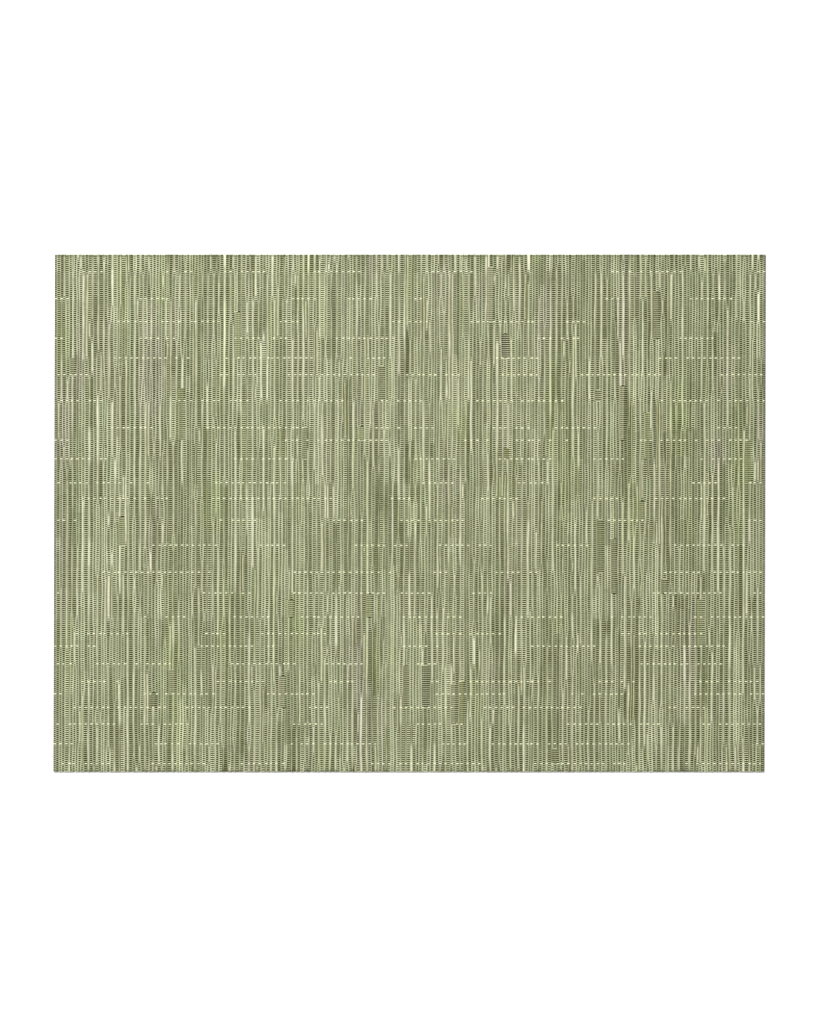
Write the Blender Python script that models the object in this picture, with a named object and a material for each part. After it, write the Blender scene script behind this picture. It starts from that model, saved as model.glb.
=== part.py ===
"""A flat table placemat, woven from plastic-coated yarn in a bamboo pattern.

The mat is one cut piece of cloth, so it is one solid. Its lengthwise yarns run
from the front edge to the back edge, along Y, and each stands up as a fine rib
on both faces. Full ribs are those of the pale, heavier yarns, and low ribs
those of the darker, thinner ones. The edges are plain cuts with no hem.

Units are metres, +Z is up. The origin is under the middle of the mat, on the
surface that it lies on. +X runs to the right along the long side, and +Y runs
from the front edge to the back edge.
"""

import random

import bmesh
import bpy

# Driving dimensions of the cut cloth
WIDTH = 0.4826
DEPTH = 0.351
THICKNESS = 0.0016
# The back edge is cut this far to the right of the front edge
OUT_OF_SQUARE = 0.001

# The ribs, one for each lengthwise yarn
RIB_COUNT = 253
CREST_SHARE = 0.62
GROOVE_DEPTH = 0.0004
LOW_RIB_DROP = 0.00015

# How often a lengthwise yarn is a full one. Full yarns tend to be every second one
FULL_SHARE_EVEN = 0.58
FULL_SHARE_ODD = 0.22
YARN_SEED = 11

RIB_WIDTH = WIDTH / RIB_COUNT
CREST_WIDTH = RIB_WIDTH * CREST_SHARE

# Green of the cloth as a whole, linear, with the sheen of coated yarn
CLOTH_COLOUR = (0.337, 0.352, 0.209, 1.0)
CLOTH_ROUGHNESS = 0.55


def clear_scene():
    for old in list(bpy.data.objects):
        bpy.data.objects.remove(old, do_unlink=True)


def rib_is_full():
    """Which ribs are full ones, from the left edge to the right."""
    draw = random.Random(YARN_SEED)
    shares = (FULL_SHARE_EVEN, FULL_SHARE_ODD)
    full = [draw.random() < shares[rib % 2] for rib in range(RIB_COUNT)]
    # The middle yarn is a full one, which gives the top mount its level point
    full[RIB_COUNT // 2] = True
    return full


def groove_points(bm, rib):
    """The bottom and top point of the groove on the left of a rib, at the front edge."""
    x = -WIDTH / 2 + rib * RIB_WIDTH - OUT_OF_SQUARE / 2
    front = -DEPTH / 2
    under = bm.verts.new((x, front, GROOVE_DEPTH))
    over = bm.verts.new((x, front, THICKNESS - GROOVE_DEPTH))
    return under, over


def crest_points(bm, rib, crest_height):
    """The corners of a rib's two flat crests at the front edge, anticlockwise from below left."""
    middle = -WIDTH / 2 + (rib + 0.5) * RIB_WIDTH - OUT_OF_SQUARE / 2
    left = middle - CREST_WIDTH / 2
    right = middle + CREST_WIDTH / 2
    front = -DEPTH / 2
    corners = ((left, 0.0), (right, 0.0), (right, crest_height), (left, crest_height))
    return [bm.verts.new((x, front, z)) for x, z in corners]


def front_section(bm):
    """The cut face at the front edge: one eight-sided face for each rib, sharing the grooves."""
    under, over = groove_points(bm, 0)
    faces = []
    for rib, full in enumerate(rib_is_full()):
        next_under, next_over = groove_points(bm, rib + 1)
        crest_height = THICKNESS if full else THICKNESS - LOW_RIB_DROP
        low_left, low_right, high_right, high_left = crest_points(bm, rib, crest_height)
        outline = (under, low_left, low_right, next_under, next_over, high_right, high_left, over)
        faces.append(bm.faces.new(outline))
        under, over = next_under, next_over
    return faces


def cloth_mesh():
    """The ribbed section, drawn out from the front edge to the back edge."""
    bm = bmesh.new()
    drawn_out = bmesh.ops.extrude_face_region(bm, geom=front_section(bm))
    back_points = [item for item in drawn_out["geom"] if isinstance(item, bmesh.types.BMVert)]
    bmesh.ops.translate(bm, verts=back_points, vec=(OUT_OF_SQUARE, DEPTH, 0.0))
    bmesh.ops.recalc_face_normals(bm, faces=bm.faces)
    mesh = bpy.data.meshes.new("placemat_cloth")
    bm.to_mesh(mesh)
    bm.free()
    return mesh


def cloth_material():
    material = bpy.data.materials.new("woven_yarn")
    material.use_nodes = True
    shader = material.node_tree.nodes["Principled BSDF"]
    shader.inputs["Base Color"].default_value = CLOTH_COLOUR
    shader.inputs["Roughness"].default_value = CLOTH_ROUGHNESS
    shader.inputs["Metallic"].default_value = 0.0
    return material


def make_placemat():
    mesh = cloth_mesh()
    mesh.materials.append(cloth_material())
    placemat = bpy.data.objects.new("placemat_cloth", mesh)
    bpy.context.scene.collection.objects.link(placemat)
    return placemat


clear_scene()
make_placemat()
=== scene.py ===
"""Dresses the plain ribbed sheet of a placemat as real woven yarn.

The mat is one flat cloth of plastic-coated yarn with a bamboo look. Its parts,
from below, are a ground of cross yarns, 253 lengthwise yarns that dip under
every second cross yarn or run on top as pale strokes, and cream dashes in
broken lines across the mat, like the nodes of a cane.

Units are metres, +Z is up, and the lengthwise yarns run along Y.
"""

import bmesh
import bpy
import numpy as np
from bpy.props import FloatProperty, FloatVectorProperty, IntProperty, PointerProperty
from bpy.types import Operator, Panel, PropertyGroup
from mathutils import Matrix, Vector


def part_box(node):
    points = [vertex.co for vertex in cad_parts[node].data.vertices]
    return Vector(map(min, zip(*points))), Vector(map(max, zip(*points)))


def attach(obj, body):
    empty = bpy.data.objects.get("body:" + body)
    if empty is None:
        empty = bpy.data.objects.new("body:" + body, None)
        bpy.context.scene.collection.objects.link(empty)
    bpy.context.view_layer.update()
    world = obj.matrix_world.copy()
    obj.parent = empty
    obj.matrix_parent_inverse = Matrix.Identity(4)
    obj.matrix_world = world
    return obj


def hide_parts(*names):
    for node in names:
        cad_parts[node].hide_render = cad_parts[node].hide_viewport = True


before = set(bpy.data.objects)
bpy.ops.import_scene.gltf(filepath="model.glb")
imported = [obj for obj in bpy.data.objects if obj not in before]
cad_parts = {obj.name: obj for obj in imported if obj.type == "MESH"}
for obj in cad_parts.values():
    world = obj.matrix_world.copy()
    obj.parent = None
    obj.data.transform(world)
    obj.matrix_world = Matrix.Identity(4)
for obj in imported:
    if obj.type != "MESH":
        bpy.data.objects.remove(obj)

bl_info = {
    "name": "Woven placemat",
    "version": (1, 0, 0),
    "blender": (4, 5, 0),
    "location": "View3D > Sidebar > Placemat",
    "description": "Weaves a flat placemat of coated yarn with a bamboo look",
    "category": "Add Mesh",
}

CLOTH_NODE = "placemat_cloth"
BODY = "root"

LOW_CORNER, HIGH_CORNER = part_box(CLOTH_NODE)
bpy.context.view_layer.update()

# The back edge of the cloth is cut this far to the right of the front edge
OUT_OF_SQUARE = 0.001
CLOTH_WIDTH = HIGH_CORNER[0] - LOW_CORNER[0] - OUT_OF_SQUARE
CLOTH_DEPTH = HIGH_CORNER[1] - LOW_CORNER[1]
CLOTH_THICKNESS = HIGH_CORNER[2] - LOW_CORNER[2]

# How near a point of the plain sheet lies to an edge or a top to count as on it
CREST_REACH = 0.00005

# Bands that the lengthwise yarns are split into, and faces of the ground's cut sides
BAND_COUNT = 8
CUT_SIDES = 4

# How far from the front edge the first line of dashes is, as a share of a gap between lines
FIRST_GAP_SHARE = 0.6

# Stretches of one shade: how even their lengths are, the picks that each has at least, how
# many end at a line of dashes, and how many yarns end theirs where the yarn before does
STRETCH_EVENNESS = 1.6
LEAST_STRETCH_PICKS = 4
END_AT_DASHES_SHARE = 0.55
SAME_ENDS_SHARE = 0.22

# A stretch counts as beside a stroke if the yarn before is on top for this share of it.
# Few of those are strokes themselves, and the other stretches make up for it
BESIDE_SHARE = 0.4
BESIDE_CHANCE = 0.20
APART_CHANCE = 1.15

# Mean tone, its spread and tint of a stroke and of a stretch of floats
STROKE_LOOK = {"tone": 0.76, "spread": 0.08, "tint": -0.5}
FLOAT_LOOK = {"tone": 0.56, "spread": 0.06, "tint": 0.15}

# How far strokes stay on top, how much paler flanks are, and which stretches have another tint
STROKE_STRENGTHS = (0.86, 1.0)
LINE_STRENGTHS = (-0.02, 0.30)
OTHER_TINT_SHARE = 0.24
OTHER_TINTS = (-0.5, 0.5)

# Picks over which a yarn's stretches blend, and over which its shade drifts, and how far
STRETCH_FADE = 15
SLOW_SHADE_REACH = 41
SLOW_SHADE_DEPTH = 0.035

# Soft areas that shift the tone or the tint: half widths in yarns, half lengths in picks
TONE_AREAS = {
    "count": 60, "half_widths": (3.0, 14.0), "half_lengths": (60.0, 260.0), "spread": 0.022,
}
TINT_AREAS = {
    "count": 150, "half_widths": (1.0, 4.0), "half_lengths": (12.0, 60.0), "spread": 0.6,
}

# Darker patches: the yarns and picks of each, how many yarns at the right edge start none,
# their tones, their tints with the share that has each, and the share with shallow dips
PATCH_COUNT = 30
PATCH_YARNS = 2
PATCH_PICKS = (10, 54)
PATCH_EDGE_YARNS = 3
PATCH_TONES = (0.42, 0.54)
PATCH_TINTS = {-0.8: 0.35, -0.4: 0.25, 0.5: 0.15, 0.0: 0.25}
SHALLOW_SHARE = 0.95

# The outermost yarns, and the share of its tone that a yarn keeps on the picks at its cut ends
EDGE_LOOK = {"tone": 0.50, "tint": -1.0, "stroke": 0.4}
CUT_SHADE = 0.72
CUT_SHADE_PICKS = 2

# Sideways lean of the yarns: each one's own offset, and waves along it with their reach. A
# yarn's waves turn and stretch a little from its neighbour's, and fade near the side edges
LEAN_OFFSET = 0.00025
LEAN_WAVES = ((3.0, 0.00016), (7.0, 0.00014), (13.0, 0.00009))
LEAN_FIRST_TURN = 6.28
LEAN_TURN = 0.6
LEAN_STRETCH = 0.15
LEAN_FADE_YARNS = 6

# Share of a pick's width over which a float's top is flat, share of a float's width that the
# yarn keeps in its dip, and how far a float's edges lie above the pick
FLOAT_FLAT = 0.54
DIP_SHARE = 0.54
EDGE_RISE = 0.00006

# How much further than the mean the floats of every second yarn reach, and those between less
REACH_SWING = 0.00006

# A yarn has the full form of a stroke a little before it stays fully on top
STROKE_GAIN = 1.1

# How far a shallow dip's top is above the ground, and how far its edges are below it
DIP_RISE = 0.00003
DIP_EDGE_DROP = 0.00008

# How far the yarns' cut ends stand out of the ground, and how low they reach
END_REACH = 0.00005
CUT_END_FOOT = 0.0009

# How much darker strokes and shallow dips are painted on the picks where a yarn would dip, as
# painted shade in the dip. How much darker a stroke's flanks are painted than its middle, which
# narrows the pale stroke and is painted shade of its round sides. How much the tone varies
# from pick to pick
STROKE_DIP_SHADE = 0.14
SHALLOW_DIP_SHADE = 0.42
STROKE_FLANK_SHADE = 0.36
TONE_GRAIN = 0.02

# Where a yarn's flank starts and is whole, from 0 at its middle to 1 at its side
FLANK_RANGE = (0.16, 0.38)
WHOLE_RANGE = (0.0, 1.0)

# Changes for each metre along X, Y and Z in the fine drawn lines of the yarns
LENGTHWISE_GRAIN = (5200.0, 420.0, 5200.0)
CROSSWISE_GRAIN = (420.0, 5200.0, 5200.0)

# What the drawn lines do to brightness, roughness and relief, and the yarns' gloss
GRAIN_DETAIL = 3.0
GRAIN_BRIGHTNESS = (0.86, 1.14)
GRAIN_ROUGHNESS = (0.42, 0.62)
GRAIN_BUMP = 0.25
GRAIN_HEIGHT = 0.00006
YARN_GLOSS = 0.2

# Tone of the cross yarns, their darker olive painted near black as painted shade in the holes
# between the floats: changes for each metre along one, step in the noise from one to the
# next, the noise's detail, the part of it that is used and the tones that it gives
CROSS_CHANGES = 90.0
CROSS_STEP = 3.7
CROSS_DETAIL = 2.0
CROSS_NOISE = (0.25, 0.75)
CROSS_PAINTED_SHADE_TONES = (0.0, 0.04)

# Underside: changes for each metre along a yarn, step in the noise from one to the next, its
# detail, the noise from which on a yarn is a stroke, and what makes up the tone
BELOW_CHANGES = 38.0
BELOW_STEP = 5.3
BELOW_DETAIL = 1.0
BELOW_STROKE_NOISE = 0.56
BELOW_PICK_TONE = 0.16
BELOW_FLOAT_RISE = 0.34
BELOW_NOISE_RISE = 0.30

# Flat part of a pick's top and of a rib under the mat, as shares of their widths, and the
# height of the grooves between those ribs
PICK_SHOULDERS = (0.08, 0.92)
RIB_SHOULDERS = (0.19, 0.81)
RIB_GROOVE = 0.0004

# Lines of dashes: share of the dashes that is there, and the shortest run and pause as shares
# of the mean ones, whose lengths follow a gamma draw of this evenness
DASH_SHARE = 0.93
LEAST_RUN_SHARE = 0.3
LEAST_PAUSE_SHARE = 0.25
RUN_EVENNESS = 2.0

# One dash: range of its length and width, how far it strays from its pick's middle, its
# points along and across, which of them are raised, how its ends narrow, and its heights
DASH_LENGTHS = (0.86, 1.12)
DASH_WIDTHS = (0.90, 1.12)
DASH_STRAY = 0.00004
DASH_ALONG = (-0.5, -0.28, 0.28, 0.5)
DASH_ACROSS = (-0.5, -0.30, 0.30, 0.5)
DASH_RAISED = (0.0, 1.0, 1.0, 0.0)
DASH_END_TAPER = 0.22
DASH_SINK = 0.0004
DASH_HEIGHT = 0.0005

# Stage: the floor, the soft box, the camera's sensor in millimetres, and a shift of one pixel
FLOOR_REACH = 6.0
FLOOR_DROP = 0.0001
SOFT_BOX_SIZE = 0.9
SOFT_BOX_PLACE = (-0.9, 1.5, 2.2)
SENSOR_HEIGHT = 24.0
CAMERA_SHIFT = 0.0007


class ClothSizes(PropertyGroup):
    """Sizes of the cloth and of its yarns."""

    width: FloatProperty(
        name="Width", description="Length of the front edge", default=CLOTH_WIDTH, unit="LENGTH"
    )
    depth: FloatProperty(
        name="Depth", description="From the front edge to the back edge", default=CLOTH_DEPTH,
        unit="LENGTH",
    )
    yarn_count: IntProperty(
        name="Lengthwise yarns", description="Yarns that run from front to back", default=253
    )
    pick_count: IntProperty(
        name="Cross yarns", description="Yarns that run from left to right", default=497
    )
    float_reach: FloatProperty(
        name="Float reach", description="How far a float bulges past halfway to the next yarn",
        default=0.00045, unit="LENGTH", precision=5,
    )
    stroke_reach: FloatProperty(
        name="Stroke reach", description="The same for a yarn on top, which stops short of it",
        default=-0.00010, unit="LENGTH", precision=5,
    )
    full_height: FloatProperty(
        name="Full yarn height", description="Top of the heavier lengthwise yarns",
        default=CLOTH_THICKNESS, unit="LENGTH", precision=5,
    )
    low_height: FloatProperty(
        name="Low yarn height", description="Top of the lighter lengthwise yarns",
        default=CLOTH_THICKNESS - 0.00013, unit="LENGTH", precision=5,
    )
    dip_height: FloatProperty(
        name="Dip height", description="Top of a lengthwise yarn under a cross yarn",
        default=0.00045, unit="LENGTH", precision=5,
    )
    pick_height: FloatProperty(
        name="Cross yarn height", description="Top of the cross yarns", default=0.00130,
        unit="LENGTH", precision=5,
    )
    groove_height: FloatProperty(
        name="Groove height", description="Bottom of the grooves between cross yarns",
        default=0.00120, unit="LENGTH", precision=5,
    )


class PatternRules(PropertyGroup):
    """How the strokes, dashes and shades are laid out."""

    seed: IntProperty(name="Seed", description="Draws another mat of the same kind", default=29)
    stretch_length: FloatProperty(
        name="Stretch length", description="Mean length over which a yarn keeps its shade",
        default=0.030, unit="LENGTH", precision=4,
    )
    stroke_share_full: FloatProperty(
        name="Strokes, full yarns", description="Share of a full yarn that runs on top",
        default=0.50, subtype="FACTOR", min=0.0, max=1.0,
    )
    stroke_share_low: FloatProperty(
        name="Strokes, low yarns", description="Share of a low yarn that runs on top",
        default=0.26, subtype="FACTOR", min=0.0, max=1.0,
    )
    node_gap_least: FloatProperty(
        name="Least node gap", description="Least distance between two lines of dashes",
        default=0.0082, unit="LENGTH", precision=4,
    )
    node_gap_most: FloatProperty(
        name="Most node gap", description="Most distance between two lines of dashes",
        default=0.0185, unit="LENGTH", precision=4,
    )
    dash_run: FloatProperty(
        name="Dash run", description="Mean length over which a line of dashes shows",
        default=0.040, unit="LENGTH", precision=4,
    )
    dash_pause: FloatProperty(
        name="Dash pause", description="Mean length over which a line of dashes is hidden",
        default=0.048, unit="LENGTH", precision=4,
    )
    dash_length: FloatProperty(
        name="Dash length", description="Length of one cream dash", default=0.00185,
        unit="LENGTH", precision=5,
    )
    dash_width: FloatProperty(
        name="Dash width", description="Width of one cream dash", default=0.00090,
        unit="LENGTH", precision=5,
    )


def colour_property(name, description, red, green, blue):
    """A colour that a user can change, linear."""
    return FloatVectorProperty(
        name=name, description=description, default=(red, green, blue), size=3,
        subtype="COLOR", min=0.0, max=2.0,
    )


class YarnColours(PropertyGroup):
    """Colours of the yarns, from the darkest to the palest."""

    # Deep is near black: besides the darkest yarn it is the painted shade in the holes between
    # floats and in the dips
    deep: colour_property("Deep", "Darkest yarn", 0.012, 0.014, 0.000)
    shade: colour_property("Shade", "Darker yarn", 0.150, 0.164, 0.058)
    leaf: colour_property("Leaf", "Most of the cloth", 0.330, 0.352, 0.199)
    pale: colour_property("Pale", "Pale strokes", 0.552, 0.585, 0.366)
    cream: colour_property("Cream", "Dashes of the node lines", 0.810, 0.835, 0.560)
    lilac_tint: colour_property("Lilac tint", "Multiplies the greyer stretches", 1.04, 0.965, 1.12)
    olive_tint: colour_property("Olive tint", "Multiplies the yellower stretches", 0.985, 1.01, 0.90)


class StageLook(PropertyGroup):
    """Floor, lights and camera."""

    floor_colour: colour_property("Floor", "Colour of the floor", 0.96, 0.96, 0.96)
    box_power: FloatProperty(
        name="Soft box", description="Power of the key light", default=75.0, unit="POWER"
    )
    sky_strength: FloatProperty(name="Sky", description="Strength of the even light", default=0.62)
    camera_height: FloatProperty(
        name="Camera height", description="Height of the lens above the cloth", default=1.4,
        unit="LENGTH",
    )
    picture_height: FloatProperty(
        name="Picture height", description="Depth of the floor that the picture takes in",
        default=0.6960, unit="LENGTH", precision=4,
    )


def yarn_places(sizes):
    """Middle of each lengthwise yarn at the mat's middle, left to right."""
    return sizes.width * ((np.arange(sizes.yarn_count) + 0.5) / sizes.yarn_count - 0.5)


def pick_places(sizes):
    """Middle of each cross yarn, front to back."""
    return sizes.depth * ((np.arange(sizes.pick_count) + 0.5) / sizes.pick_count - 0.5)


def sheared(x, y, sizes):
    """Moves places to the side with the cut that is out of square."""
    return x + OUT_OF_SQUARE * y / sizes.depth


def full_yarns(sizes):
    """Which yarns are the heavier ones: the ribs of the plain sheet that reach its top."""
    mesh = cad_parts[CLOTH_NODE].data
    points = np.empty(len(mesh.vertices) * 3, np.float32)
    mesh.vertices.foreach_get("co", points)
    points = points.reshape(-1, 3)
    front = np.abs(points[:, 1] - LOW_CORNER[1]) < CREST_REACH
    crest = points[front & (points[:, 2] > HIGH_CORNER[2] - CREST_REACH)]
    left_end = LOW_CORNER[0]
    ribs = ((crest[:, 0] - left_end) / sizes.width * sizes.yarn_count).astype(int)
    full = np.zeros(sizes.yarn_count, bool)
    full[np.unique(ribs)] = True
    return full


def node_rows(sizes, rules, draw):
    """Cross yarns that carry a line of dashes, at uneven distances from front to back."""
    rows = []
    place = draw.uniform(rules.node_gap_least, rules.node_gap_most) * FIRST_GAP_SHARE
    while place < sizes.depth - rules.node_gap_least / 2:
        rows.append(int(place / sizes.depth * sizes.pick_count))
        place += draw.uniform(rules.node_gap_least, rules.node_gap_most)
    return np.array(rows)


def stretch_ends(sizes, rules, nodes, draw):
    """Picks at which one yarn changes its shade, most of them at a line of dashes."""
    pick_depth = sizes.depth / sizes.pick_count
    ends = []
    place = -draw.uniform(0.0, rules.stretch_length)
    while place < sizes.depth:
        place += draw.gamma(STRETCH_EVENNESS, rules.stretch_length / STRETCH_EVENNESS)
        place += LEAST_STRETCH_PICKS * pick_depth
        end = place / pick_depth
        if draw.random() < END_AT_DASHES_SHARE:
            end = nodes[np.argmin(np.abs(nodes - end))]
        if 1 <= end < sizes.pick_count:
            ends.append(int(end))
    return sorted(set(ends))


def weave_plan(sizes, rules):
    """What each lengthwise yarn does at each cross yarn.

    Gives arrays of yarns by picks: stroke, how far the yarn stays on top; tone,
    from 0 for the darkest yarn to 1 for cream; tint, from -1 for lilac to 1 for
    olive; line, how much paler its flanks are than its middle; swap, where it
    dips in step with its neighbour; shallow, where it dips no lower than the
    cross yarns' tops.
    """
    draw = np.random.default_rng(rules.seed)
    nodes = node_rows(sizes, rules, draw)
    full = full_yarns(sizes)
    shape = (sizes.yarn_count, sizes.pick_count)
    plan = {name: np.zeros(shape) for name in ("stroke", "tone", "tint", "line", "swap", "shallow")}
    ends_before = []
    for yarn in range(sizes.yarn_count):
        ends = stretch_ends(sizes, rules, nodes, draw)
        if ends_before and draw.random() < SAME_ENDS_SHARE:
            ends = ends_before
        ends_before = ends
        share = rules.stroke_share_full if full[yarn] else rules.stroke_share_low
        for first, last in zip([0, *ends], [*ends, sizes.pick_count]):
            lay_stretch(plan, yarn, slice(first, last), share, draw)
    plan["stroke"] = smooth_along(plan["stroke"], STRETCH_FADE)
    plan["tone"] = smooth_along(plan["tone"], STRETCH_FADE)
    plan["tone"] += slow_shade(shape, draw)
    plan["tone"] += soft_areas(sizes, draw, **TONE_AREAS)
    plan["tint"] += soft_areas(sizes, draw, **TINT_AREAS)
    add_shade_patches(plan, sizes, nodes, draw)
    shade_cut_edges(plan)
    return plan, nodes, draw


def lay_stretch(plan, yarn, picks, share, draw):
    """Draws one stretch of a yarn: a stroke on top, or floats and dips."""
    beside = yarn > 0 and plan["stroke"][yarn - 1, picks].mean() > BESIDE_SHARE
    is_stroke = draw.random() < share * (BESIDE_CHANCE if beside else APART_CHANCE)
    look = STROKE_LOOK if is_stroke else FLOAT_LOOK
    plan["stroke"][yarn, picks] = draw.uniform(*STROKE_STRENGTHS) if is_stroke else 0.0
    plan["line"][yarn, picks] = draw.uniform(*LINE_STRENGTHS)
    plan["tone"][yarn, picks] = draw.normal(look["tone"], look["spread"])
    plan["tint"][yarn, picks] = look["tint"]
    if draw.random() < OTHER_TINT_SHARE:
        plan["tint"][yarn, picks] += draw.uniform(*OTHER_TINTS)


def smooth_along(values, reach):
    """Blends each yarn's values over a number of picks, its ends held."""
    kernel = np.hanning(reach + 2)[1:-1]
    kernel /= kernel.sum()
    held = np.pad(values, ((0, 0), (reach // 2, reach // 2)), mode="edge")
    return np.array([np.convolve(row, kernel, mode="valid") for row in held])


def slow_shade(shape, draw):
    """Each yarn's own slow change of shade along its length."""
    shade = smooth_along(draw.normal(0.0, 1.0, shape), SLOW_SHADE_REACH)
    return shade * SLOW_SHADE_DEPTH / shade.std()


def soft_areas(sizes, draw, count, half_widths, half_lengths, spread):
    """Soft oval areas that shift a value, so many yarns wide and so many picks long."""
    yarn = np.arange(sizes.yarn_count)[:, None]
    pick = np.arange(sizes.pick_count)[None, :]
    shift = np.zeros((sizes.yarn_count, sizes.pick_count))
    for area in range(count):
        middle = draw.uniform(0, sizes.yarn_count)
        half_width = draw.uniform(*half_widths)
        level = draw.uniform(0, sizes.pick_count)
        half_length = draw.uniform(*half_lengths)
        depth = draw.normal(0.0, spread)
        shift += depth * np.exp(
            -((yarn - middle) / half_width) ** 2 - ((pick - level) / half_length) ** 2
        )
    return shift


def add_shade_patches(plan, sizes, nodes, draw):
    """Darker lilac or olive patches, whose yarns dip in step and so look like small ladders."""
    for patch in range(PATCH_COUNT):
        yarn = int(draw.integers(0, sizes.yarn_count - PATCH_EDGE_YARNS))
        first = int(nodes[draw.integers(0, len(nodes))])
        picks = slice(first, first + int(draw.integers(*PATCH_PICKS)))
        look = {
            "stroke": 0.0,
            "tone": draw.uniform(*PATCH_TONES),
            "tint": draw.choice(list(PATCH_TINTS), p=list(PATCH_TINTS.values())),
            "shallow": draw.random() < SHALLOW_SHARE,
        }
        for side in range(PATCH_YARNS):
            for name, value in look.items():
                plan[name][yarn + side, picks] = value
            plan["swap"][yarn + side, picks] = side % 2


def shade_cut_edges(plan):
    """The outermost yarns and the yarns' cut ends are duller than the face."""
    for name, value in EDGE_LOOK.items():
        plan[name][[0, -1]] = value
    plan["tone"][::2, :CUT_SHADE_PICKS] *= CUT_SHADE
    plan["tone"][1::2, -CUT_SHADE_PICKS:] *= CUT_SHADE


def lean(sizes, draw):
    """Sideways drift of each yarn at each pick: a slow wander that neighbours partly share."""
    yarns, picks = sizes.yarn_count, sizes.pick_count
    along = np.arange(picks) / picks
    drift = np.zeros((yarns, picks))
    drift += draw.normal(0.0, LEAN_OFFSET, yarns)[:, None]
    for waves, reach in LEAN_WAVES:
        turn = np.cumsum(draw.normal(0.0, LEAN_TURN, yarns)) + draw.uniform(0, LEAN_FIRST_TURN)
        speed = waves * (1 + LEAN_STRETCH * draw.normal(0.0, 1.0, yarns))
        drift += reach * np.sin(2 * np.pi * speed[:, None] * along[None, :] + turn[:, None])
    side_room = np.minimum(1.0, (0.5 + np.arange(yarns)) / LEAN_FADE_YARNS)
    return drift * np.minimum(side_room, side_room[::-1])[:, None]


def half_room(middle, sizes):
    """Half the distance between neighbours at each pick, with the cut edges' own at both ends."""
    half_pitch = sizes.width / sizes.yarn_count / 2
    between = np.diff(middle, axis=0) / 2
    outermost = np.full((1, middle.shape[1]), half_pitch)
    return np.concatenate([outermost, between, outermost])


def yarn_shape(sizes, plan, drift):
    """Place and size of every lengthwise yarn at every pick, as arrays of yarns by picks."""
    yarns, picks = sizes.yarn_count, sizes.pick_count
    middle = yarn_places(sizes)[:, None] + drift
    top = np.where(full_yarns(sizes), sizes.full_height, sizes.low_height)[:, None]
    step = np.add.outer(np.arange(yarns), np.arange(picks)) + plan["swap"]
    is_up = step % 2 == 0
    on_top = np.minimum(1.0, plan["stroke"] * STROKE_GAIN)
    stay = np.where(is_up, 1.0, plan["stroke"])
    shallow = plan["shallow"] * ~is_up
    room = half_room(middle, sizes)
    swing = np.where(np.arange(yarns) % 2 == 0, -REACH_SWING, REACH_SWING)[:, None]
    reach = blend(sizes.float_reach + swing, sizes.stroke_reach, on_top)
    # Yarns with shallow dips bulge no further than halfway to the next
    reach *= 1.0 - plan["shallow"]
    narrow = np.where(is_up, 1.0, blend(DIP_SHARE, 1.0, np.maximum(on_top, shallow)))
    left, right = ((side + reach) * narrow for side in (room[:-1], room[1:]))
    left[0], right[-1] = room[0, 0], room[-1, 0]
    for end in (0, -1):
        left[:, end] = np.maximum(left[:, end], room[:-1, end])
        right[:, end] = np.maximum(right[:, end], room[1:, end])
    low = sizes.pick_height + EDGE_RISE
    crest = blend(sizes.dip_height, top, stay)
    edge = np.where(is_up, low, blend(sizes.dip_height - EDGE_RISE, low, on_top))
    return {
        "is_up": is_up,
        "middle": middle,
        "left": left,
        "right": right,
        "crest": np.maximum(crest, shallow * (sizes.pick_height + DIP_RISE)),
        "edge": np.maximum(edge, shallow * (sizes.pick_height - DIP_EDGE_DROP)),
    }


def blend(start, end, share):
    """What lies between two values, at a share of the way."""
    return start + (end - start) * share


def row_places(is_up, sizes):
    """Rows of points along one yarn: each one's pick and its place.

    A yarn has two rows on a pick that it lies over, one at each end of the
    float's flat top, and one row under a pick. It starts and ends with a
    doubled row at the cloth's cut, for the yarn's own cut end.
    """
    times = np.where(is_up, 2, 1)
    pick = np.repeat(np.arange(len(is_up)), times)
    first = np.cumsum(times) - times
    shift = np.zeros(len(pick))
    shift[first[is_up]] = -FLOAT_FLAT / 2
    shift[first[is_up] + 1] = FLOAT_FLAT / 2
    place = pick_places(sizes)[pick] + shift * sizes.depth / sizes.pick_count
    cut = sizes.depth / 2 + END_REACH
    pick = np.concatenate([[0, 0], pick, [len(is_up) - 1] * 2])
    place = np.concatenate([[-cut, -cut], place, [cut, cut]])
    return pick, place


def yarn_strip(yarn, shape, values, sizes):
    """Points of one yarn as rows by three across, and the values at them."""
    pick, y = row_places(shape["is_up"][yarn], sizes)
    at = {name: each[yarn, pick] for name, each in shape.items()}
    x = sheared(at["middle"], y, sizes)
    crest, edge = at["crest"], at["edge"]
    for end in (0, -1):
        crest[end] = edge[end] = CUT_END_FOOT
    points = np.stack([
        np.stack([x - at["left"], x, x + at["right"]], axis=1),
        np.stack([y, y, y], axis=1),
        np.stack([edge, crest, edge], axis=1),
    ], axis=2)
    strip_values = {label: across(each[yarn, pick]) for label, each in values.items()}
    strip_values["side"] = np.tile((1.0, 0.0, 1.0), (len(pick), 1))
    return points, strip_values


def across(values):
    """Gives each row's value to its three points."""
    return np.repeat(values[:, None], 3, axis=1)


def yarn_values(plan, is_up, draw):
    """What the material reads along each yarn: its tone with painted shade in the dips, its tint,
    and its flanks' drop in tone, which is painted shade down a stroke's flanks and paler flanks on
    some floats.
    """
    # Painted shade: strokes and shallow dips are made darker on the picks where the yarn would dip
    painted_dip_shade = ~is_up * np.maximum(STROKE_DIP_SHADE * plan["stroke"], SHALLOW_DIP_SHADE * plan["shallow"])
    return {
        "tone": plan["tone"] - painted_dip_shade + draw.normal(0.0, TONE_GRAIN, plan["tone"].shape),
        "tint": plan["tint"],
        "drop": blend(-plan["line"], STROKE_FLANK_SHADE, plan["stroke"]) * (1.0 - plan["shallow"]),
    }


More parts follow.
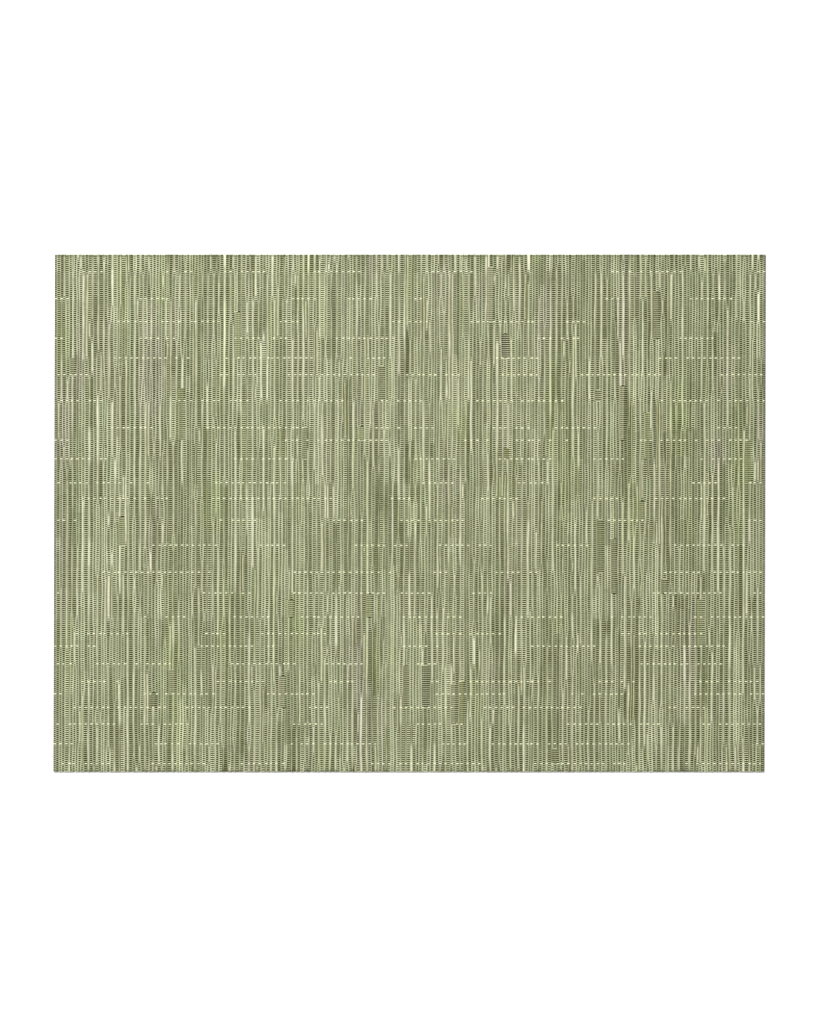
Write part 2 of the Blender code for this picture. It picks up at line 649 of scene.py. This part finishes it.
def strip_faces(rows, start):
    """Corners of the faces of a strip with that many rows, two faces across."""
    number = start + np.arange(rows * 3).reshape(rows, 3)
    near, far = number[:-1], number[1:]
    faces = np.stack([near[:, :-1], near[:, 1:], far[:, 1:], far[:, :-1]], axis=-1)
    smooth = np.ones((rows - 1, 2), bool)
    smooth[0] = smooth[-1] = False
    return faces.reshape(-1, 4), smooth.ravel()


def band_mesh(name, strips):
    """One mesh of side by side yarns, each a strip with closed ends."""
    faces, smooth, start = [], [], 0
    for points, strip_values in strips:
        strip, strip_smooth = strip_faces(len(points), start)
        faces.append(strip)
        smooth.append(strip_smooth)
        start += len(points) * 3
    faces = np.concatenate(faces)
    mesh = bpy.data.meshes.new(name)
    mesh.vertices.add(start)
    places = np.concatenate([points.reshape(-1, 3) for points, strip_values in strips])
    mesh.vertices.foreach_set("co", places.astype(np.float32).ravel())
    mesh.loops.add(faces.size)
    mesh.loops.foreach_set("vertex_index", faces.astype(np.int32).ravel())
    mesh.polygons.add(len(faces))
    mesh.polygons.foreach_set("loop_start", np.arange(len(faces), dtype=np.int32) * 4)
    mesh.update(calc_edges=True)
    mesh.polygons.foreach_set("use_smooth", np.concatenate(smooth))
    mesh.update()
    for label in strips[0][1]:
        attribute = mesh.attributes.new(label, "FLOAT", "POINT")
        each = np.concatenate([strip_values[label].ravel() for points, strip_values in strips])
        attribute.data.foreach_set("value", each.astype(np.float32))
    return mesh


def add_piece(name, mesh, material):
    """A visible piece of the mat, which rides with the cloth."""
    mesh.materials.append(material)
    piece = bpy.data.objects.new(name, mesh)
    bpy.context.scene.collection.objects.link(piece)
    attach(piece, BODY)
    return piece


def new_material(name):
    """An empty node material, with its tree and its surface shader."""
    material = bpy.data.materials.new(name)
    material.use_nodes = True
    tree = material.node_tree
    return material, tree, tree.nodes["Principled BSDF"]


def ramp(tree, value, stops):
    """The colour that a value has on a ramp with the given places and colours."""
    node = tree.nodes.new("ShaderNodeValToRGB")
    elements = node.color_ramp.elements
    while len(elements) < len(stops):
        elements.new(0.5)
    for element, (place, colour) in zip(elements, stops):
        element.position = place
        element.color = (*colour, 1.0)
    tree.links.new(value, node.inputs[0])
    return node.outputs[0]


def tone_colour(tree, tone, colours):
    """The green of a yarn's tone."""
    return ramp(tree, tone, (
        (0.0, colours.deep), (0.25, colours.shade), (0.5, colours.leaf),
        (0.75, colours.pale), (1.0, colours.cream),
    ))


def tint_colour(tree, tint, colours):
    """The colour that multiplies a yarn's green, from a tint that runs from -1 to 1."""
    return ramp(tree, maths(tree, "MULTIPLY_ADD", tint, 0.5, 0.5), (
        (0.0, colours.lilac_tint), (0.5, (1.0, 1.0, 1.0)), (1.0, colours.olive_tint),
    ))


def maths(tree, operation, *values):
    """A maths node on its inputs, each a socket or a number."""
    node = tree.nodes.new("ShaderNodeMath")
    node.operation = operation
    for socket, value in zip(node.inputs, values):
        if isinstance(value, (int, float)):
            socket.default_value = value
        else:
            tree.links.new(value, socket)
    return node.outputs[0]


def ranged(tree, value, before, after, smooth=False):
    """A value carried from one range to another and held in it, evenly or with soft ends."""
    node = tree.nodes.new("ShaderNodeMapRange")
    if smooth:
        node.interpolation_type = "SMOOTHSTEP"
    for label, limit in zip(("From Min", "From Max", "To Min", "To Max"), (*before, *after)):
        node.inputs[label].default_value = limit
    tree.links.new(value, node.inputs["Value"])
    return node.outputs[0]


def multiplied(tree, first, second):
    """The product of two colour sockets."""
    node = tree.nodes.new("ShaderNodeMix")
    node.data_type = "RGBA"
    node.blend_type = "MULTIPLY"
    node.inputs["Factor"].default_value = 1.0
    colours_in = [socket for socket in node.inputs if socket.type == "RGBA"]
    tree.links.new(first, colours_in[0])
    tree.links.new(second, colours_in[1])
    return next(socket for socket in node.outputs if socket.type == "RGBA")


def noise_at(tree, place, detail):
    """A noise that changes about once for each unit of a place."""
    node = tree.nodes.new("ShaderNodeTexNoise")
    node.inputs["Scale"].default_value = 1.0
    node.inputs["Detail"].default_value = detail
    tree.links.new(place, node.inputs["Vector"])
    return node.outputs["Fac"]


def yarn_grain(tree, changes):
    """Fine drawn lines along a yarn, as a noise squeezed across it."""
    place = tree.nodes.new("ShaderNodeTexCoord")
    squeeze = tree.nodes.new("ShaderNodeMapping")
    squeeze.inputs["Scale"].default_value = changes
    tree.links.new(place.outputs["Object"], squeeze.inputs["Vector"])
    return noise_at(tree, squeeze.outputs["Vector"], GRAIN_DETAIL)


def finish_yarn(tree, shader, colour, grain):
    """Satin coated yarn: its colour, its fine drawn lines and its gloss."""
    shaded = tree.nodes.new("ShaderNodeVectorMath")
    shaded.operation = "SCALE"
    brightness = ranged(tree, grain, WHOLE_RANGE, GRAIN_BRIGHTNESS)
    tree.links.new(colour, shaded.inputs[0])
    tree.links.new(brightness, shaded.inputs["Scale"])
    tree.links.new(shaded.outputs[0], shader.inputs["Base Color"])
    bump = tree.nodes.new("ShaderNodeBump")
    bump.inputs["Strength"].default_value = GRAIN_BUMP
    bump.inputs["Distance"].default_value = GRAIN_HEIGHT
    tree.links.new(grain, bump.inputs["Height"])
    tree.links.new(bump.outputs[0], shader.inputs["Normal"])
    tree.links.new(ranged(tree, grain, WHOLE_RANGE, GRAIN_ROUGHNESS), shader.inputs["Roughness"])
    shader.inputs["Specular IOR Level"].default_value = YARN_GLOSS


def mesh_value(tree, label):
    """A value that the mesh keeps at its points."""
    node = tree.nodes.new("ShaderNodeAttribute")
    node.attribute_name = label
    return node.outputs["Fac"]


def place_on_mat(tree):
    """How far a point is to the right and to the back of the mat's middle."""
    place = tree.nodes.new("ShaderNodeTexCoord")
    parts = tree.nodes.new("ShaderNodeSeparateXYZ")
    tree.links.new(place.outputs["Object"], parts.inputs[0])
    return parts.outputs["X"], parts.outputs["Y"]


def joined_place(tree, x, y):
    """A place made of two values."""
    node = tree.nodes.new("ShaderNodeCombineXYZ")
    tree.links.new(x, node.inputs["X"])
    tree.links.new(y, node.inputs["Y"])
    return node.outputs[0]


def lengthwise_material(colours):
    """Coated yarn whose green follows the mesh's tone and tint, with painted shade down a stroke's
    flanks and paler flanks on some floats.
    """
    material, tree, shader = new_material("lengthwise_yarn")
    flank = ranged(tree, mesh_value(tree, "side"), FLANK_RANGE, WHOLE_RANGE, smooth=True)
    # The drop darkens a stroke's flanks as painted shade of its round sides, and makes some floats'
    # flanks paler
    fall = maths(tree, "MULTIPLY", flank, mesh_value(tree, "drop"))
    tone = maths(tree, "SUBTRACT", mesh_value(tree, "tone"), fall)
    green = tone_colour(tree, tone, colours)
    colour = multiplied(tree, green, tint_colour(tree, mesh_value(tree, "tint"), colours))
    finish_yarn(tree, shader, colour, yarn_grain(tree, LENGTHWISE_GRAIN))
    return material


def cross_material(colours, sizes):
    """Darker olive cross yarn painted near black, as painted shade in the holes between the floats,
    each with its own slow change of tone along its length.
    """
    material, tree, shader = new_material("cross_yarn")
    x, y = place_on_mat(tree)
    row = maths(tree, "FLOOR", maths(tree, "MULTIPLY", y, sizes.pick_count / sizes.depth))
    along = maths(tree, "MULTIPLY", x, CROSS_CHANGES)
    spot = joined_place(tree, along, maths(tree, "MULTIPLY", row, CROSS_STEP))
    tone = ranged(tree, noise_at(tree, spot, CROSS_DETAIL), CROSS_NOISE, CROSS_PAINTED_SHADE_TONES)
    green = tone_colour(tree, tone, colours)
    finish_yarn(tree, shader, green, yarn_grain(tree, CROSSWISE_GRAIN))
    return material


def count_along(tree, place, size, number):
    """Number of the yarn that a place falls on, from a coordinate that runs either way from 0."""
    from_middle = maths(tree, "MULTIPLY", place, number / size)
    return maths(tree, "FLOOR", maths(tree, "ADD", from_middle, number / 2))


def underside_material(colours, sizes):
    """The back of the weave, drawn on the sheet's lower face: floats, picks and pale strokes."""
    material, tree, shader = new_material("underside_weave")
    x, y = place_on_mat(tree)
    upright = maths(tree, "SUBTRACT", x, maths(tree, "MULTIPLY", y, OUT_OF_SQUARE / sizes.depth))
    yarn = count_along(tree, upright, sizes.width, sizes.yarn_count)
    pick = count_along(tree, y, sizes.depth, sizes.pick_count)
    is_odd = maths(tree, "MODULO", maths(tree, "ADD", yarn, pick), 2.0)
    is_float = maths(tree, "LESS_THAN", is_odd, 0.5)
    along = maths(tree, "MULTIPLY", y, BELOW_CHANGES)
    spot = joined_place(tree, maths(tree, "MULTIPLY", yarn, BELOW_STEP), along)
    noise = noise_at(tree, spot, BELOW_DETAIL)
    is_stroke = maths(tree, "GREATER_THAN", noise, BELOW_STROKE_NOISE)
    is_on_face = maths(tree, "MAXIMUM", is_float, is_stroke)
    base = maths(tree, "MULTIPLY_ADD", is_on_face, BELOW_FLOAT_RISE, BELOW_PICK_TONE)
    tone = maths(tree, "MULTIPLY_ADD", noise, BELOW_NOISE_RISE, base)
    green = tone_colour(tree, tone, colours)
    finish_yarn(tree, shader, green, yarn_grain(tree, LENGTHWISE_GRAIN))
    return material


def dash_material(colours):
    """The palest yarn, in the dashes of the node lines."""
    material, tree, shader = new_material("cream_yarn")
    grain = yarn_grain(tree, CROSSWISE_GRAIN)
    cream = ramp(tree, grain, ((0.2, colours.pale), (0.5, colours.cream)))
    finish_yarn(tree, shader, cream, grain)
    return material


def ribbed_outline(length, count, shoulders, groove, crest):
    """Places and heights across a row of ribs: a groove and two shoulders for each."""
    pitch = length / count
    places, heights = [], []
    for rib in range(count):
        start = -length / 2 + rib * pitch
        places += [start, *(start + share * pitch for share in shoulders)]
        heights += [groove, crest, crest]
    return [*places, length / 2], [*heights, groove]


def face_outwards(mesh):
    """Turns every face of a closed mesh outwards."""
    bm = bmesh.new()
    bm.from_mesh(mesh)
    bmesh.ops.recalc_face_normals(bm, faces=bm.faces)
    bm.to_mesh(mesh)
    bm.free()


def ground_mesh(sizes):
    """The closed sheet of cross yarns, with the lengthwise ribs of the back face under it."""
    half_width = sizes.width / 2
    half_depth = sizes.depth / 2
    top_y, top_z = ribbed_outline(
        sizes.depth, sizes.pick_count, PICK_SHOULDERS, sizes.groove_height, sizes.pick_height
    )
    low_x, low_z = ribbed_outline(sizes.width, sizes.yarn_count, RIB_SHOULDERS, RIB_GROOVE, 0.0)
    points, faces = [], []

    def put(x, y, z):
        """Adds one point and gives its number."""
        points.append((sheared(x, y, sizes), y, z))
        return len(points) - 1

    left = [put(-half_width, y, z) for y, z in zip(top_y, top_z)]
    right = [put(half_width, y, z) for y, z in zip(top_y, top_z)]
    front = [put(x, -half_depth, z) for x, z in zip(low_x, low_z)]
    back = [put(x, half_depth, z) for x, z in zip(low_x, low_z)]
    for step in range(len(top_y) - 1):
        faces.append((left[step], right[step], right[step + 1], left[step + 1]))
    for step in range(len(low_x) - 1):
        faces.append((front[step + 1], front[step], back[step], back[step + 1]))
    faces.append((left[0], *front, right[0]))
    faces.append((right[-1], *reversed(back), left[-1]))
    faces.append((front[0], *left, back[0]))
    faces.append((back[-1], *reversed(right), front[-1]))
    mesh = bpy.data.meshes.new("woven_ground")
    mesh.from_pydata(points, [], faces)
    face_outwards(mesh)
    smooth = np.ones(len(faces), bool)
    smooth[-CUT_SIDES:] = False
    mesh.polygons.foreach_set("use_smooth", smooth)
    below = np.zeros(len(faces), np.int32)
    below[len(top_y) - 1:-CUT_SIDES] = 1
    mesh.polygons.foreach_set("material_index", below)
    mesh.update()
    return mesh


def uneven_length(mean, least_share, draw):
    """A length drawn round a mean, and never under a share of it."""
    evenness = draw.gamma(RUN_EVENNESS, 1 / RUN_EVENNESS)
    return (least_share + (1 - least_share) * evenness) * mean


def dash_places(sizes, rules, nodes, draw):
    """Yarn and pick of each cream dash, on every second yarn of the runs that show."""
    places = []
    pitch = sizes.width / sizes.yarn_count
    for row in nodes:
        yarn = -int(draw.exponential(rules.dash_pause) / pitch)
        while yarn < sizes.yarn_count:
            run = int(uneven_length(rules.dash_run, LEAST_RUN_SHARE, draw) / pitch)
            for each in range(max(yarn, 0), min(yarn + run, sizes.yarn_count)):
                if (each + row) % 2 == 0 and draw.random() < DASH_SHARE:
                    places.append((each, row))
            yarn += run + int(uneven_length(rules.dash_pause, LEAST_PAUSE_SHARE, draw) / pitch)
    return places


def dash_mesh(sizes, rules, places, drift, draw):
    """All the dashes as one mesh of small rounded grains."""
    count = len(DASH_RAISED)
    raised = np.minimum.outer(DASH_RAISED, DASH_RAISED)
    foot = sizes.full_height - DASH_SINK
    points, faces = [], []
    yarn_x = yarn_places(sizes)
    pick_y = pick_places(sizes)
    for yarn, row in places:
        length = rules.dash_length * draw.uniform(*DASH_LENGTHS)
        width = rules.dash_width * draw.uniform(*DASH_WIDTHS)
        middle_x = sheared(yarn_x[yarn] + drift[yarn, row], pick_y[row], sizes)
        middle_y = pick_y[row] + draw.normal(0.0, DASH_STRAY)
        start = len(points)
        for i in range(count):
            narrowed = 1.0 - DASH_END_TAPER * (1 - DASH_RAISED[i])
            for j in range(count):
                points.append((
                    middle_x + DASH_ALONG[i] * length,
                    middle_y + DASH_ACROSS[j] * width * narrowed,
                    foot + raised[i, j] * DASH_HEIGHT,
                ))
        for i in range(count - 1):
            for j in range(count - 1):
                corner = start + i * count + j
                faces.append((corner, corner + count, corner + count + 1, corner + 1))
    mesh = bpy.data.meshes.new("node_dashes")
    mesh.from_pydata(points, [], faces)
    mesh.validate()
    mesh.shade_smooth()
    return mesh


# What the weaving leaves for the operators after it
WOVEN = {}


class PLACEMAT_OT_weave_yarns(Operator):
    """Lay the lengthwise yarns over and under the ground, in eight bands"""

    bl_idname = "placemat.weave_yarns"
    bl_label = "Weave lengthwise yarns"

    def execute(self, context):
        scene = context.scene
        sizes, rules = scene.placemat_sizes, scene.placemat_rules
        plan, nodes, draw = weave_plan(sizes, rules)
        drift = lean(sizes, draw)
        shape = yarn_shape(sizes, plan, drift)
        WOVEN.update(nodes=nodes, draw=draw, drift=drift, bands=[])
        material = lengthwise_material(scene.placemat_colours)
        values = yarn_values(plan, shape["is_up"], draw)
        bands = np.array_split(np.arange(sizes.yarn_count), BAND_COUNT)
        for band, yarns in enumerate(bands):
            name = f"lengthwise_yarns_{band + 1}"
            mesh = band_mesh(name, [yarn_strip(yarn, shape, values, sizes) for yarn in yarns])
            WOVEN["bands"].append(add_piece(name, mesh, material))
        return {"FINISHED"}


class PLACEMAT_OT_lay_dashes(Operator):
    """Lay the cream dashes of the node lines"""

    bl_idname = "placemat.lay_dashes"
    bl_label = "Lay node dashes"

    def execute(self, context):
        scene = context.scene
        sizes, rules = scene.placemat_sizes, scene.placemat_rules
        draw = WOVEN["draw"]
        places = dash_places(sizes, rules, WOVEN["nodes"], draw)
        mesh = dash_mesh(sizes, rules, places, WOVEN["drift"], draw)
        WOVEN["dashes"] = add_piece("node_dashes", mesh, dash_material(scene.placemat_colours))
        return {"FINISHED"}


class PLACEMAT_OT_weave_ground(Operator):
    """Make the closed ground of cross yarns that the other yarns lie on"""

    bl_idname = "placemat.weave_ground"
    bl_label = "Weave ground"

    def execute(self, context):
        scene = context.scene
        sizes = scene.placemat_sizes
        colours = scene.placemat_colours
        mesh = ground_mesh(sizes)
        ground = add_piece("woven_ground", mesh, cross_material(colours, sizes))
        mesh.materials.append(underside_material(colours, sizes))
        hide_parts(CLOTH_NODE)
        return {"FINISHED"}


class PLACEMAT_OT_set_stage(Operator):
    """Set the pale floor, the soft light and the camera straight above"""

    bl_idname = "placemat.set_stage"
    bl_label = "Set stage"

    def execute(self, context):
        look = context.scene.placemat_stage
        make_floor(look)
        make_lights(look)
        make_camera(look)
        context.scene.view_settings.view_transform = "Standard"
        return {"FINISHED"}


def make_floor(look):
    """A wide pale floor just under the cloth."""
    mesh = bpy.data.meshes.new("floor")
    signs = ((-1, -1), (1, -1), (1, 1), (-1, 1))
    corners = [(x * FLOOR_REACH, y * FLOOR_REACH, -FLOOR_DROP) for x, y in signs]
    mesh.from_pydata(corners, [], [(0, 1, 2, 3)])
    material, tree, shader = new_material("pale_floor")
    shader.inputs["Base Color"].default_value = (*look.floor_colour, 1.0)
    shader.inputs["Roughness"].default_value = 0.9
    shader.inputs["Specular IOR Level"].default_value = 0.0
    mesh.materials.append(material)
    floor = bpy.data.objects.new("floor", mesh)
    bpy.context.scene.collection.objects.link(floor)


def make_lights(look):
    """A soft box behind the back edge, to the left, and an even sky."""
    box = bpy.data.lights.new("soft_box", "AREA")
    box.energy = look.box_power
    box.shape = "SQUARE"
    box.size = SOFT_BOX_SIZE
    lamp = bpy.data.objects.new("soft_box", box)
    lamp.location = SOFT_BOX_PLACE
    lamp.rotation_euler = (-Vector(lamp.location)).to_track_quat("-Z", "Y").to_euler()
    bpy.context.scene.collection.objects.link(lamp)
    world = bpy.data.worlds.new("even_sky")
    world.use_nodes = True
    sky = world.node_tree.nodes["Background"]
    sky.inputs["Color"].default_value = (1.0, 1.0, 1.0, 1.0)
    sky.inputs["Strength"].default_value = look.sky_strength
    bpy.context.scene.world = world


def make_camera(look):
    """A camera straight above, with the mat one pixel below the picture's middle."""
    lens = bpy.data.cameras.new("camera")
    lens.sensor_fit = "VERTICAL"
    lens.sensor_height = SENSOR_HEIGHT
    lens.lens = SENSOR_HEIGHT * look.camera_height / look.picture_height
    camera = bpy.data.objects.new("camera", lens)
    camera.location = (0.0, CAMERA_SHIFT, look.camera_height)
    bpy.context.scene.collection.objects.link(camera)
    bpy.context.scene.camera = camera


class VIEW3D_PT_placemat(Panel):
    """Placemat sizes, colours and steps in the sidebar"""

    bl_label = "Woven placemat"
    bl_space_type = "VIEW_3D"
    bl_region_type = "UI"
    bl_category = "Placemat"

    def draw(self, context):
        layout = self.layout
        scene = context.scene
        for name in PROPERTY_GROUPS:
            group = getattr(scene, name)
            box = layout.box()
            for field in group.__annotations__:
                box.prop(group, field)
        for operator in OPERATORS:
            layout.operator(operator.bl_idname)


PROPERTY_GROUPS = {
    "placemat_sizes": ClothSizes,
    "placemat_rules": PatternRules,
    "placemat_colours": YarnColours,
    "placemat_stage": StageLook,
}
OPERATORS = (
    PLACEMAT_OT_weave_yarns,
    PLACEMAT_OT_lay_dashes,
    PLACEMAT_OT_weave_ground,
    PLACEMAT_OT_set_stage,
)
CLASSES = (*PROPERTY_GROUPS.values(), *OPERATORS, VIEW3D_PT_placemat)


def register():
    for cls in CLASSES:
        bpy.utils.register_class(cls)
    for name, group in PROPERTY_GROUPS.items():
        setattr(bpy.types.Scene, name, PointerProperty(type=group))


def unregister():
    for name in PROPERTY_GROUPS:
        delattr(bpy.types.Scene, name)
    for cls in reversed(CLASSES):
        bpy.utils.unregister_class(cls)


def main():
    register()
    bpy.ops.placemat.weave_yarns()
    bpy.ops.placemat.lay_dashes()
    bpy.ops.placemat.weave_ground()
    bpy.ops.placemat.set_stage()


if __name__ == "__main__":
    main()
